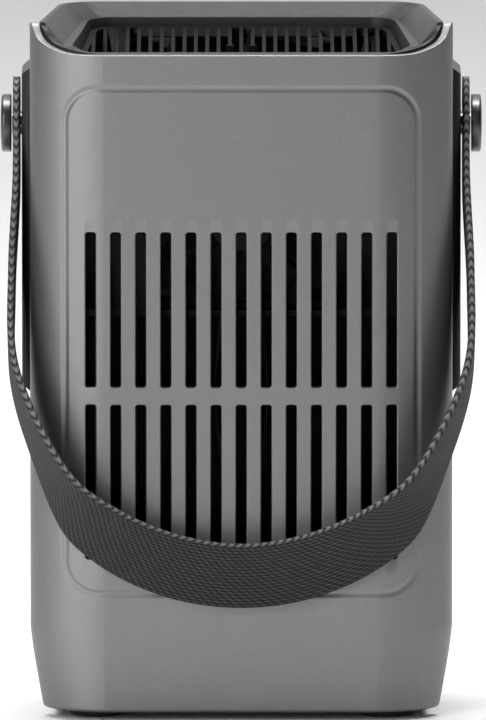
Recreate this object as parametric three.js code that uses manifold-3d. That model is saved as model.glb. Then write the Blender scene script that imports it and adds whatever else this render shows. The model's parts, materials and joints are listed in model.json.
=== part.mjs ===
// A small camping power station: a grey vented rear shell round a dark core, a recessed top
// grille, and a webbing carry strap that hangs from two side pivots and leans on the rear face.
// Millimetres, +Z up. The vented rear faces -Y and the sockets face +Y. The origin is at the
// bottom centre of the whole object's box.
import * as THREE from 'three';
import { mergeVertices } from 'three/addons/utils/BufferGeometryUtils.js';
import Module from 'manifold-3d';

// Overall sizes
const bodyWidth = 141;
const bodyDepth = 80;
const rimHeight = 233;

// Feet and base plate
const footHeight = 2.8;
const footRadius = 9.3;
const footInset = 18;
const footSideInset = 22.1;
const footPocketDepth = 1.1;
const baseThickness = 3.6;

// Rear shell
const shellDepth = 16;
const shellWall = 2.9;
const shellCornerWidth = 27.5;
const cornerSteps = 10;
const shellTuck = 4.5;
const shellTuckHeight = 31;
// The top edge, as [distance from the rear face, height over the rear face's edge]
const rearEdge = [
  [0.9, 0],
  [2.9, 0.6],
  [5.8, 2.4],
  [8, 3.9],
  [9.7, 5.4],
  [11.2, 7.4],
  [12.3, 8.8],
  [14.2, 9.6],
];
const grooveWidth = 2.6;
const grooveDepth = 0.8;
const grooveSideMargin = 12;
const grooveLowMargin = 40.2;
const grooveHighMargin = 21;
const groovePanelCorner = 11;

// Vent slots
const slotColumns = 13;
const slotPitch = 8.36;
const slotWidth = 3.35;
const slotBridge = 6;
const slotLowMargin = 11.3;
const slotHighMargin = 47.8;
const slotCorner = 0.9;
const slotEndCorner = 2;

// Core: front shell and collar
const coreWall = 2.4;
const coreNarrowing = 7;
const coreCorner = 13;
const coreLap = 6;
const collarHeight = 8.5;
const collarSkirt = 10;
const collarRim = 1.6;
const collarEdgeDrop = 0.9;
const collarThinRim = 0.8;

// Funnel and grille in the top
const funnelDrop = 4.2;
const funnelTilt = 0.045;
const wellDrop = 5.5;
const grilleTilt = 0.073;
const grilleBars = 27;
const grillePitch = 3.8;
const grilleBarWidth = 1.25;
const grilleThickness = 3;
const grilleFrame = 2;
const grilleRecess = 1.4;
const grilleTieY = 9.4;
const latchSetBack = 6.4;
const latchHeight = 4.3;
const latchWidth = 10.2;
const latchDepth = 3;
const latchBar = 1.2;
const latchTab = 2.7;

// Side rails and pads
const railProud = 2.8;
const railWidth = 30;
const railAbovePivot = 20.2;
const railBelowPivot = 92.4;
const railChamfer = 2.4;
const pocketBelowPivot = 11.4;
const pocketHeight = 9;
const pocketDepth = 4.5;
const padBelowPivot = 23.9;
const padHeight = 64.5;
const padRecess = 2.5;
const padProud = 2;
const padRibPitch = 2.4;
const railBorder = 4;

// Strap and its pivots
const strapWidth = 25;
const strapThickness = 2.4;
const strapPivotDrop = 36.6;
const strapEnd = 15.9;
const strapLean = 24.5;
const pivotRadius = 4;
const washerRadius = 9.2;
const washerThickness = 0.6;
const knobRadius = 9.7;
const knobThickness = 3.6;
const eyeletRadius = 6.6;

// Front panel and what it carries
const panelWidth = 88;
const panelHeight = 86;
const panelDrop = 17;
const panelThickness = 2;
const panelCorner = 6;
const windowWidth = 56;
const windowHeight = 28;
const windowThickness = 1.2;
const windowDrop = 20;
const buttonRadius = 5;
const buttonTravel = 1;
const buttonProud = 0.6;
const buttonFlange = 1.2;
const buttonPitch = 24;
const buttonDrop = 41.5;
const usbColumns = [-33, -14];
const usbCDrop = 59;
const usbADrop = 72.5;
const usbDepth = 12;
const socketX = 26;
const socketDrop = 66;
const socketRadius = 12.5;
const socketWall = 2;
const socketDepth = 42;
const socketContact = 2.2;
const capLip = 2;
const capThickness = 2.4;
const capPinRadius = 0.8;
const capKnuckle = 1.5;
const capLugWidth = 2.5;
const capLugGap = 5.5;
const inputX = 3;
const inputRadius = 5.5;

// Battery and electronics
const cellCount = 4;
const cellGap = 1;
const cellSideRoom = 5.7;
const cellFrontRoom = 9;
const cellRearRoom = 12.6;
const cellTopRoom = 109.6;
const trayFloor = 2.4;
const trayRim = 6;
const boardThickness = 1.6;
const fanSize = 60;
const fanThickness = 10;
const fanDrop = 65;
const bladeCount = 7;
const baffleSetBack = 1.2;
const baffleMargin = 6;
const baffleRibReach = 44;

// Fits
const gap = 0.3;
const slideGap = 0.4;
const arcSteps = 7;
const roundSteps = 32;
const smallSteps = 14;

// Places that follow from the sizes above
const halfWidth = bodyWidth / 2;
const rearY = -bodyDepth / 2;
const frontY = bodyDepth / 2;
const seamY = rearY + shellDepth;
const baseZ = footHeight;
const coreHalf = halfWidth - shellWall - slideGap;
const coreFrontHalf = coreHalf - coreNarrowing;
const coreBackY = seamY - coreLap;
const innerRearY = rearY + shellWall + slideGap;
const capSeamZ = rimHeight - collarHeight;
const funnelZ = rimHeight - funnelDrop;
const grilleZ = rimHeight - wellDrop;
const pivotY = 0;
const strapPivotHeight = rimHeight - strapPivotDrop;
const groovePanelHalf = halfWidth - grooveSideMargin;
const groovePanelLow = baseZ + grooveLowMargin;
const groovePanelHigh = rimHeight - grooveHighMargin;
const slotLow = groovePanelLow + slotLowMargin;
const slotHigh = groovePanelHigh - slotHighMargin;
const slotLength = (slotHigh - slotLow - slotBridge) / 2;
const slotRows = [[slotLow, slotLow + slotLength], [slotHigh - slotLength, slotHigh]];
const railLow = strapPivotHeight - railBelowPivot;
const railHigh = strapPivotHeight + railAbovePivot;
const pocketHigh = strapPivotHeight - pocketBelowPivot;
const pocketLow = pocketHigh - pocketHeight;
const padHigh = strapPivotHeight - padBelowPivot;
const padLow = padHigh - padHeight;
const panelHigh = rimHeight - panelDrop;
const panelLow = panelHigh - panelHeight;
const windowCentre = panelHigh - windowDrop;
const buttonHeight = panelHigh - buttonDrop;
const usbCHeight = panelHigh - usbCDrop;
const usbAHeight = panelHigh - usbADrop;
const socketHeight = panelHigh - socketDrop;
const fanHeight = rimHeight - fanDrop;
const railFace = halfWidth + railProud;
const strapX = railFace + gap + washerThickness / 2 + strapThickness / 2;
const centreZ = baseZ + baseThickness + gap;
const socketBore = socketRadius - socketWall;
const capRadius = socketRadius + capLip;
const capPinY = frontY + gap + capKnuckle;
const capPinZ = socketHeight + capRadius + capKnuckle + slideGap;

const wasm = await Module();
wasm.setup();

const powerStation = new THREE.Group();

const finishes = {
  shellGrey: { color: 0x7a7a7b, roughness: 0.62, metalness: 0 },
  darkPlastic: { color: 0x2b2b2c, roughness: 0.6, metalness: 0 },
  blackPlastic: { color: 0x141415, roughness: 0.55, metalness: 0 },
  padRubber: { color: 0x303031, roughness: 0.8, metalness: 0 },
  footRubber: { color: 0x101010, roughness: 0.85, metalness: 0 },
  webbing: { color: 0x2c2c2e, roughness: 0.9, metalness: 0 },
  darkMetal: { color: 0x3a3a3b, roughness: 0.35, metalness: 0.8 },
  steel: { color: 0x8d8f92, roughness: 0.35, metalness: 1 },
  windowGlass: { color: 0x0b0c0e, roughness: 0.08, metalness: 0 },
  boardGreen: { color: 0x1d4a32, roughness: 0.6, metalness: 0 },
  cellWrap: { color: 0x2f4d78, roughness: 0.5, metalness: 0.1 },
  copper: { color: 0xa8683a, roughness: 0.35, metalness: 0.9 },
  aluminium: { color: 0xb4b6b8, roughness: 0.4, metalness: 0.9 },
};

// A closed three.js geometry as a solid that can be cut and joined.
function solidOf(geometry) {
  geometry.deleteAttribute('normal');
  geometry.deleteAttribute('uv');
  const merged = mergeVertices(geometry, 1e-4);
  return new wasm.Manifold(new wasm.Mesh({
    numProp: 3,
    vertProperties: new Float32Array(merged.attributes.position.array),
    triVerts: new Uint32Array(merged.index.array),
  }));
}

// Adds one sub-part, as its own named mesh with its own material.
function addPart(name, solid, finish) {
  const mesh = solid.getMesh();
  const geometry = new THREE.BufferGeometry();
  geometry.setAttribute('position', new THREE.BufferAttribute(mesh.vertProperties, 3));
  geometry.setIndex(new THREE.BufferAttribute(mesh.triVerts, 1));
  geometry.computeVertexNormals();
  const part = new THREE.Mesh(geometry, new THREE.MeshStandardMaterial(finishes[finish]));
  part.name = name;
  powerStation.add(part);
}

// Points round a polygon whose corners are [x, y, radius], each corner an arc.
function roundedPoints(corners, steps = arcSteps) {
  const points = [];
  corners.forEach(([x, y, radius], index) => {
    const here = new THREE.Vector2(x, y);
    if (!radius) {
      points.push(here);
      return;
    }
    const before = corners.at(index - 1);
    const after = corners[(index + 1) % corners.length];
    const toBefore = new THREE.Vector2(before[0] - x, before[1] - y).normalize();
    const toAfter = new THREE.Vector2(after[0] - x, after[1] - y).normalize();
    const halfAngle = Math.acos(toBefore.dot(toAfter)) / 2;
    const setBack = radius / Math.tan(halfAngle);
    const inward = toBefore.clone().add(toAfter).normalize();
    const centre = inward.multiplyScalar(radius / Math.sin(halfAngle)).add(here);
    const start = toBefore.multiplyScalar(setBack).add(here).sub(centre).angle();
    const end = toAfter.multiplyScalar(setBack).add(here).sub(centre).angle();
    const turn = THREE.MathUtils.euclideanModulo(end - start + Math.PI, 2 * Math.PI) - Math.PI;
    for (let step = 0; step <= steps; step += 1) {
      const angle = start + (turn * step) / steps;
      points.push(new THREE.Vector2(
        centre.x + radius * Math.cos(angle),
        centre.y + radius * Math.sin(angle),
      ));
    }
  });
  return points;
}

function outline(corners, steps) {
  return new THREE.Shape(roundedPoints(corners, steps));
}

function rectangle(x, y, width, height, radius = 0, steps = arcSteps) {
  const right = x + width / 2;
  const top = y + height / 2;
  return outline([
    [x - width / 2, y - height / 2, radius],
    [right, y - height / 2, radius],
    [right, top, radius],
    [x - width / 2, top, radius],
  ], steps);
}

function extruded(shape, length) {
  return new THREE.ExtrudeGeometry(shape, { depth: length, bevelEnabled: false, curveSegments: arcSteps });
}

// An outline in X and Y, extruded upwards.
function upright(shape, low, high) {
  return solidOf(extruded(shape, high - low).translate(0, 0, low));
}

// An outline in X and Z, extruded along Y.
function alongY(shape, low, high) {
  return solidOf(extruded(shape, high - low).rotateX(Math.PI / 2).translate(0, high, 0));
}

// An outline in Y and Z, extruded along X.
function alongX(shape, low, high) {
  const geometry = extruded(shape, high - low).rotateX(Math.PI / 2).rotateZ(Math.PI / 2);
  return solidOf(geometry.translate(low, 0, 0));
}

function block(low, high) {
  const size = high.map((value, axis) => value - low[axis]);
  const middle = high.map((value, axis) => (value + low[axis]) / 2);
  return solidOf(new THREE.BoxGeometry(...size).translate(...middle));
}

function roundX(radius, low, high, y, z, steps = roundSteps) {
  const geometry = new THREE.CylinderGeometry(radius, radius, high - low, steps).rotateZ(Math.PI / 2);
  return solidOf(geometry.translate((low + high) / 2, y, z));
}

function roundY(radius, low, high, x, z, steps = roundSteps) {
  const geometry = new THREE.CylinderGeometry(radius, radius, high - low, steps);
  return solidOf(geometry.translate(x, (low + high) / 2, z));
}

function roundZ(radius, low, high, x, y, steps = roundSteps) {
  const geometry = new THREE.CylinderGeometry(radius, radius, high - low, steps).rotateX(Math.PI / 2);
  return solidOf(geometry.translate(x, y, (low + high) / 2));
}

// A solid between two outlines with as many points, at heights lowZ(point) and highZ(point).
function loft(lowPoints, highPoints, lowZ, highZ) {
  const geometry = extruded(new THREE.Shape(highPoints), 1);
  const position = geometry.attributes.position;
  for (let index = 0; index < position.count; index += 1) {
    const x = position.getX(index);
    const y = position.getY(index);
    const match = highPoints.findIndex((point) => Math.hypot(point.x - x, point.y - y) < 1e-3);
    if (position.getZ(index) > 0.5) {
      position.setZ(index, highZ(highPoints[match]));
    } else {
      const point = lowPoints[match];
      position.setXYZ(index, point.x, point.y, lowZ(point));
    }
  }
  return solidOf(geometry);
}

// The sides' front view: straight, tucked in towards the bottom.
function flanks(inset) {
  const half = halfWidth - inset;
  const low = half - shellTuck;
  const shape = new THREE.Shape();
  const bend = baseZ + (shellTuckHeight - baseZ) * 0.4;
  shape.moveTo(-low, baseZ);
  shape.lineTo(low, baseZ);
  shape.quadraticCurveTo(half - shellTuck * 0.42, bend, half, shellTuckHeight);
  shape.lineTo(half, rimHeight);
  shape.lineTo(-half, rimHeight);
  shape.lineTo(-half, shellTuckHeight);
  shape.quadraticCurveTo(-half + shellTuck * 0.42, bend, -low, baseZ);
  return alongY(shape, rearY - 1, frontY + 1);
}

// The side view of the space over the top edge, which rises from the rear face to the rim.
function aboveEdge(drop) {
  const edge = rimHeight - rearEdge.at(-1)[1] - drop;
  const shape = new THREE.Shape([
    new THREE.Vector2(rearY - 1, edge),
    ...rearEdge.map(([behind, rise]) => new THREE.Vector2(rearY + behind, edge + rise)),
    new THREE.Vector2(rearY + rearEdge.at(-1)[0], rimHeight + 1),
    new THREE.Vector2(rearY - 1, rimHeight + 1),
  ]);
  return alongX(shape, -halfWidth - 1, halfWidth + 1);
}

// The top edge's height at a distance behind the rear face.
function edgeHeight(behind) {
  const next = rearEdge.findIndex(([place]) => place >= behind);
  if (next < 0) {
    return rimHeight;
  }
  const [place0, rise0] = rearEdge[Math.max(next - 1, 0)];
  const [place1, rise1] = rearEdge[next];
  const share = place1 > place0 ? Math.max(0, behind - place0) / (place1 - place0) : 0;
  return rimHeight - rearEdge.at(-1)[1] + rise0 + (rise1 - rise0) * share;
}

// Plan of the core: straight by the rear shell, then narrowing to the front face.
function corePlan(inset, backY, backCorner = 0) {
  const side = coreHalf - inset;
  const front = coreFrontHalf - inset;
  const frontCorner = Math.max(coreCorner - inset, 1);
  return outline([
    [-side, backY, backCorner],
    [side, backY, backCorner],
    [side, seamY, 0],
    [front, frontY - inset, frontCorner],
    [-front, frontY - inset, frontCorner],
    [-side, seamY, 0],
  ]);
}

function coreHalfAt(y) {
  return coreHalf - (coreNarrowing * Math.max(0, y - seamY)) / (frontY - seamY);
}

// The rear shell's soft corners in plan: the right one from the face to the side, and its mirror.
function softCorners(inset) {
  const half = halfWidth - inset;
  const reach = shellCornerWidth - inset;
  const depth = shellDepth - inset;
  const right = [];
  for (let step = 0; step <= cornerSteps; step += 1) {
    const angle = (step / cornerSteps) * (Math.PI / 2);
    const x = half - reach + reach * Math.sin(angle);
    right.push(new THREE.Vector2(x, seamY - depth * Math.cos(angle)));
  }
  const left = right.map((point) => new THREE.Vector2(-point.x, point.y)).reverse();
  return [right, left];
}

function rearPlan(inset, endY) {
  const half = halfWidth - inset;
  const [right, left] = softCorners(inset);
  const ends = [new THREE.Vector2(half, endY), new THREE.Vector2(-half, endY)];
  return new THREE.Shape([...right, ...ends, ...left]);
}

// Plan of the collar: the rear shell's soft corners, and the core's sides and front.
function collarPlan(inset) {
  const [right, left] = softCorners(shellWall + slideGap + inset);
  const front = coreFrontHalf - inset;
  const frontCorner = coreCorner - inset;
  const frontPoints = roundedPoints([
    [-coreHalf + inset, seamY, 0],
    [coreHalf - inset, seamY, 0],
    [front, frontY - inset, frontCorner],
    [-front, frontY - inset, frontCorner],
  ]).slice(2);
  return new THREE.Shape([...right, ...frontPoints, ...left]);
}

// The space inside the rear shell's skin.
function withinShell(inset) {
  return upright(rearPlan(inset, frontY + 1), baseZ - 1, rimHeight + 1);
}

function slotX(column) {
  return (column - (slotColumns - 1) / 2) * slotPitch;
}

function ventSlots() {
  const slots = [];
  slotRows.forEach(([low, high], row) => {
    for (let column = 0; column < slotColumns; column += 1) {
      const left = column === 0 ? slotEndCorner * 0.8 : slotCorner;
      const right = column === slotColumns - 1 ? slotEndCorner * 0.8 : slotCorner;
      const x0 = slotX(column) - slotWidth / 2;
      const x1 = x0 + slotWidth;
      const lower = row === 0;
      slots.push(alongY(outline([
        [x0, low, lower ? left : slotCorner],
        [x1, low, lower ? right : slotCorner],
        [x1, high, lower ? slotCorner : right],
        [x0, high, lower ? slotCorner : left],
      ], 2), rearY - 1, rearY + shellWall + 2));
    }
  });
  return wasm.Manifold.union(slots);
}

function makeRearShell() {
  const grooveMiddle = (groovePanelLow + groovePanelHigh) / 2;
  const grooveHeight = groovePanelHigh - groovePanelLow;
  const grooveRing = (offset) => rectangle(
    0,
    grooveMiddle,
    2 * (groovePanelHalf + offset),
    grooveHeight + 2 * offset,
    groovePanelCorner + offset,
    6,
  );
  const groove = grooveRing(grooveWidth / 2);
  groove.holes.push(grooveRing(-grooveWidth / 2));
  const outside = upright(rearPlan(0, seamY), baseZ, rimHeight).intersect(flanks(0));
  addPart('rear_shell', outside
    .subtract(withinShell(shellWall).intersect(flankCavity()))
    .subtract(alongY(groove, rearY - 1, seamY).subtract(withinShell(grooveDepth)))
    .subtract(ventSlots())
    .subtract(aboveEdge(0)), 'shellGrey');
}

// The flanks' inner side, open at the bottom and at the top.
function flankCavity() {
  const inner = flanks(shellWall);
  const half = halfWidth - shellWall;
  const low = half - shellTuck;
  const below = block([-low, rearY - 1, baseZ - 1], [low, frontY + 1, baseZ + 1]);
  const above = block([-half, rearY - 1, rimHeight - 1], [half, frontY + 1, rimHeight + 1]);
  return inner.add(below).add(above);
}

function makeFrontShell() {
  const fit = shellWall + slideGap;
  const outside = upright(corePlan(0, coreBackY), baseZ, capSeamZ - gap);
  const trimmed = outside
    .intersect(flanks(fit))
    .intersect(withinShell(fit));
  const inset = fit + coreWall;
  const inside = upright(corePlan(coreWall, coreBackY - 1), baseZ - 1, rimHeight)
    .intersect(withinShell(inset));
  const low = halfWidth - inset - shellTuck;
  const tunnel = flanks(inset).add(block([-low, rearY, baseZ - 1], [low, frontY, baseZ + 1]));
  const opening = rectangle(0, (panelLow + panelHigh) / 2, panelWidth, panelHeight, panelCorner);
  let shell = trimmed
    .subtract(inside.intersect(tunnel))
    .subtract(alongY(opening, frontY - coreWall - 1, frontY + 1));
  [-1, 1].forEach((side) => {
    const hole = roundX(pivotRadius + gap, 0, halfWidth, pivotY, strapPivotHeight, smallSteps);
    shell = shell.subtract(side < 0 ? hole.translate([-halfWidth, 0, 0]) : hole);
  });
  addPart('front_shell', shell, 'darkPlastic');
}

// Plans of the funnel, each with the same points: its top, the foot of its slope, and the well.
function funnelPoints(backHalf, middleHalf, frontHalf, backY, endY, backCorner, frontCorner) {
  return roundedPoints([
    [-backHalf, backY, backCorner],
    [backHalf, backY, backCorner],
    [middleHalf, seamY, 0],
    [frontHalf, endY, frontCorner],
    [-frontHalf, endY, frontCorner],
    [-middleHalf, seamY, 0],
  ]);
}

const topPoints = funnelPoints(
  coreHalf - collarRim,
  coreHalf - collarRim,
  coreFrontHalf - collarRim,
  innerRearY,
  frontY - collarRim,
  11,
  coreCorner - collarRim,
);
const slopePoints = funnelPoints(
  coreHalf - 7.4,
  coreHalf - 8.2,
  coreFrontHalf - 8.2,
  innerRearY + 0.7,
  frontY - 6.6,
  7,
  9,
);
const wellInset = (inset) => funnelPoints(
  coreHalf - 12.2 - inset,
  coreHalf - 12.8 - inset,
  coreFrontHalf - 10 - inset,
  innerRearY + 1.2 + inset,
  frontY - 8.4 - inset,
  6,
  8,
);

function makeTopCollar() {
  const fit = shellWall + slideGap;
  const skirtBottom = capSeamZ - collarSkirt;
  const cap = upright(collarPlan(0), capSeamZ, rimHeight);
  const skirtSide = upright(collarPlan(coreWall + slideGap), skirtBottom, capSeamZ + 1);
  const rearLip = upright(collarPlan(0), skirtBottom, capSeamZ + 1)
    .intersect(block([-halfWidth, rearY, skirtBottom - 1], [halfWidth, coreBackY - gap, rimHeight]));
  const slopeZ = (point) => funnelZ + funnelTilt * (point.y - frontY);
  const wellZ = (point) => grilleZ + grilleTilt * (point.y - frontY) - 1;
  const overRim = () => rimHeight + 1;
  // Each line of the slope runs from its foot through the lip and on over the rim.
  const outward = slopePoints.map((foot, index) => {
    const lip = topPoints[index];
    const lipZ = Math.max(edgeHeight(lip.y - rearY), slopeZ(foot) + 1.5);
    const reach = (overRim() - slopeZ(foot)) / (lipZ - slopeZ(foot));
    return foot.clone().lerp(lip, reach);
  });
  const slope = loft(slopePoints, outward, slopeZ, overRim)
    .intersect(withinShell(fit + collarThinRim));
  const throat = loft(wellInset(0), slopePoints, wellZ, overRim);
  const well = upright(new THREE.Shape(wellInset(0)), skirtBottom - 1, rimHeight + 1);
  addPart('top_collar', cap
    .add(skirtSide)
    .add(rearLip)
    .subtract(slope)
    .subtract(throat)
    .subtract(well)
    .subtract(aboveEdge(collarEdgeDrop)), 'darkPlastic');
}

function makeTopGrille() {
  const ring = new THREE.Shape(wellInset(gap));
  ring.holes.push(new THREE.Shape(wellInset(gap + grilleFrame)));
  const top = grilleZ - grilleRecess;
  const bottom = top - grilleThickness;
  const half = grilleBarWidth / 2;
  const bars = [];
  for (let index = 0; index < grilleBars; index += 1) {
    const x = (index - (grilleBars - 1) / 2) * grillePitch;
    bars.push(block([x - half, rearY, bottom], [x + half, frontY, top]));
  }
  const tieHalf = grillePitch + half;
  [-1, 1].forEach((side) => {
    const x = side * grillePitch * 7;
    bars.push(block([x - tieHalf, grilleTieY - half, bottom], [x + tieHalf, grilleTieY + half, top]));
  });
  const inside = upright(new THREE.Shape(wellInset(gap + grilleFrame / 2)), bottom - 1, top + 1);
  const grille = wasm.Manifold.union(bars).intersect(inside).add(upright(ring, bottom, top));
  const tilt = THREE.MathUtils.radToDeg(Math.atan(grilleTilt));
  const placed = grille.translate([0, -frontY, -top]).rotate([tilt, 0, 0]).translate([0, frontY, top]);
  addPart('top_grille', placed.translate([0, -0.1, 0]), 'blackPlastic');
}

// The finger latch near the rear edge: a low bar on the grille with two upright tabs.
function makeGrilleLatch() {
  const y = innerRearY + latchSetBack;
  const low = grilleZ - grilleRecess + grilleTilt * (y + latchDepth - frontY) + gap;
  let latch = block([-latchWidth / 2, y, low], [latchWidth / 2, y + latchDepth, low + latchBar]);
  [-1, 1].forEach((side) => {
    const x = side * (latchWidth / 2 - latchTab / 2);
    const tabEnd = [x + latchTab / 2, y + latchBar, low + latchHeight];
    latch = latch.add(block([x - latchTab / 2, y, low], tabEnd));
  });
  addPart('grille_latch', latch, 'blackPlastic');
}

function footPlaces() {
  const x = halfWidth - footSideInset;
  return [
    ['foot_rear_left', -x, rearY + footInset],
    ['foot_rear_right', x, rearY + footInset],
    ['foot_front_left', -x, frontY - footInset],
    ['foot_front_right', x, frontY - footInset],
  ];
}

function basePlan(inset) {
  return corePlan(coreWall + slideGap + inset, innerRearY + inset, 8);
}

function makeBaseAndFeet() {
  const inset = shellWall + slideGap + coreWall + slideGap;
  let base = upright(basePlan(0), baseZ, baseZ + baseThickness)
    .intersect(flanks(inset))
    .intersect(withinShell(inset));
  footPlaces().forEach(([name, x, y]) => {
    base = base.subtract(roundZ(footRadius + gap, 0, baseZ + footPocketDepth, x, y));
    const profile = [
      new THREE.Vector2(0, 0),
      new THREE.Vector2(footRadius - 0.8, 0),
      new THREE.Vector2(footRadius, 0.8),
      new THREE.Vector2(footRadius, baseZ + footPocketDepth - gap),
      new THREE.Vector2(0, baseZ + footPocketDepth - gap),
    ];
    const foot = new THREE.LatheGeometry(profile, roundSteps).rotateX(Math.PI / 2);
    addPart(name, solidOf(foot.translate(x, y, 0)), 'footRubber');
  });
  const screwX = coreFrontHalf - 10;
  [[-screwX, rearY + 36], [screwX, rearY + 36]].forEach(([x, y], index) => {
    base = base.subtract(roundZ(3.3, 0, baseZ + 2.1, x, y, smallSteps));
    base = base.subtract(roundZ(1.7, 0, baseZ + baseThickness + 1, x, y, smallSteps));
    const head = roundZ(3, baseZ + 0.3, baseZ + 1.8, x, y, smallSteps);
    const shank = roundZ(1.4, baseZ + 1, baseZ + baseThickness, x, y, smallSteps);
    const drive = roundZ(1.1, baseZ, baseZ + 1.1, x, y, 6);
    addPart(`base_screw_${index + 1}`, head.add(shank).subtract(drive), 'steel');
  });
  addPart('base_plate', base, 'darkPlastic');
}

function makeRails() {
  const backY = pivotY - railWidth / 2;
  const endY = pivotY + railWidth / 2;
  [['left', -1], ['right', 1]].forEach(([word, side]) => {
    const at = (x) => side * x;
    const span = (a, b) => (side < 0 ? [-b, -a] : [a, b]);
    const plan = outline([
      [at(coreHalfAt(backY) + gap), backY, 0],
      [at(railFace), backY, 2.5],
      [at(railFace), endY, 2.5],
      [at(coreHalfAt(endY) + gap), endY, 0],
    ], 4);
    const topCut = new THREE.Shape([
      new THREE.Vector2(at(railFace + 0.1), railHigh - railChamfer),
      new THREE.Vector2(at(railFace + 0.1), railHigh + 1),
      new THREE.Vector2(at(railFace - railProud - 1), railHigh + 1),
      new THREE.Vector2(at(railFace - railProud), railHigh),
    ]);
    const bottomCut = new THREE.Shape([
      new THREE.Vector2(at(railFace + 0.1), railLow + 6),
      new THREE.Vector2(at(railFace + 0.1), railLow - 1),
      new THREE.Vector2(at(coreHalf - 4), railLow - 1),
      new THREE.Vector2(at(coreHalf - 2), railLow),
    ]);
    const [seatLow, seatHigh] = span(railFace - washerThickness - gap, railFace + 1);
    const [holeLow, holeHigh] = span(railFace - 4.7, railFace + 1);
    const [pocketA, pocketB] = span(railFace - pocketDepth, railFace + 1);
    const [recessA, recessB] = span(railFace - padRecess, railFace + 1);
    const [padA, padB] = span(railFace - padRecess + gap, railFace - padRecess + gap + padProud);
    const z = strapPivotHeight;
    const rail = upright(plan, railLow, railHigh)
      .subtract(alongY(topCut, backY - 1, endY + 1))
      .subtract(alongY(bottomCut, backY - 1, endY + 1))
      .subtract(roundX(washerRadius + gap, seatLow, seatHigh, pivotY, z))
      .subtract(roundX(pivotRadius + gap, holeLow, holeHigh, pivotY, z, smallSteps))
      .subtract(block(
        [pocketA, backY + railBorder, pocketLow],
        [pocketB, endY - railBorder, pocketHigh],
      ))
      .subtract(block([recessA, backY + railBorder, padLow], [recessB, endY - railBorder, padHigh]));
    addPart(`side_rail_${word}`, rail, 'darkPlastic');

    const points = [];
    const ribs = Math.floor((padHigh - padLow - 2) / padRibPitch);
    const outer = side < 0 ? padA : padB;
    const inner = side < 0 ? padB : padA;
    points.push(new THREE.Vector2(inner, padLow + gap));
    for (let rib = 0; rib < ribs; rib += 1) {
      const low = padLow + gap + 0.4 + rib * padRibPitch;
      points.push(new THREE.Vector2(outer - side * 0.6, low));
      points.push(new THREE.Vector2(outer, low + padRibPitch * 0.3));
      points.push(new THREE.Vector2(outer, low + padRibPitch * 0.7));
    }
    points.push(new THREE.Vector2(outer - side * 0.6, padHigh - gap));
    points.push(new THREE.Vector2(inner, padHigh - gap));
    const padBack = backY + railBorder + gap;
    const pad = alongY(new THREE.Shape(points), padBack, endY - railBorder - gap);
    addPart(`grip_pad_${word}`, pad, 'padRubber');
  });
}

function makePivots() {
  const z = strapPivotHeight;
  [['left', -1], ['right', 1]].forEach(([word, side]) => {
    const span = (a, b) => (side < 0 ? [-b, -a] : [a, b]);
    const washerOuter = railFace;
    const strapFace = strapX + strapThickness / 2;
    const [washerA, washerB] = span(washerOuter - washerThickness, washerOuter);
    const washer = roundX(washerRadius, washerA, washerB, pivotY, z)
      .subtract(roundX(pivotRadius + gap, -railFace - 5, railFace + 5, pivotY, z, smallSteps));
    addPart(`strap_washer_${word}`, washer, 'darkMetal');

    const [postA, postB] = span(railFace - 4.4, strapFace + gap);
    addPart(`pivot_post_${word}`, roundX(pivotRadius, postA, postB, pivotY, z), 'steel');

    const [ringA, ringB] = span(strapX - strapThickness / 2, strapFace);
    const eyelet = roundX(eyeletRadius, ringA, ringB, pivotY, z)
      .subtract(roundX(pivotRadius + gap, ringA - 1, ringB + 1, pivotY, z));
    addPart(`strap_eyelet_${word}`, eyelet, 'steel');

    const edge = 1;
    const profile = [
      new THREE.Vector2(0, 0),
      new THREE.Vector2(knobRadius - 0.5, 0),
      new THREE.Vector2(knobRadius, 0.5),
      new THREE.Vector2(knobRadius, knobThickness - edge - 0.4),
      new THREE.Vector2(knobRadius - edge * 0.3, knobThickness - edge * 0.3 - 0.4),
      new THREE.Vector2(knobRadius - edge, knobThickness - 0.4),
      new THREE.Vector2(knobRadius * 0.5, knobThickness - 0.1),
      new THREE.Vector2(0, knobThickness),
    ];
    const knob = new THREE.LatheGeometry(profile, roundSteps).rotateZ(-side * Math.PI / 2);
    knob.translate(side * (strapFace + gap * 2), pivotY, z);
    addPart(`strap_knob_${word}`, solidOf(knob), 'darkMetal');
  });
}

function inputHole(extra) {
  return roundY(inputRadius + extra, frontY - 20, frontY + 1, inputX, socketHeight, smallSteps);
}

const buttonNames = ['display_button', 'power_button', 'output_button'];

function buttonX(index) {
  return (index - (buttonNames.length - 1) / 2) * buttonPitch;
}

const usbCSize = { width: 9, height: 3.2, wall: 0.35, tongue: 0.7 };
const usbASize = { width: 14.4, height: 7, wall: 0.5, tongue: 1.8 };

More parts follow.
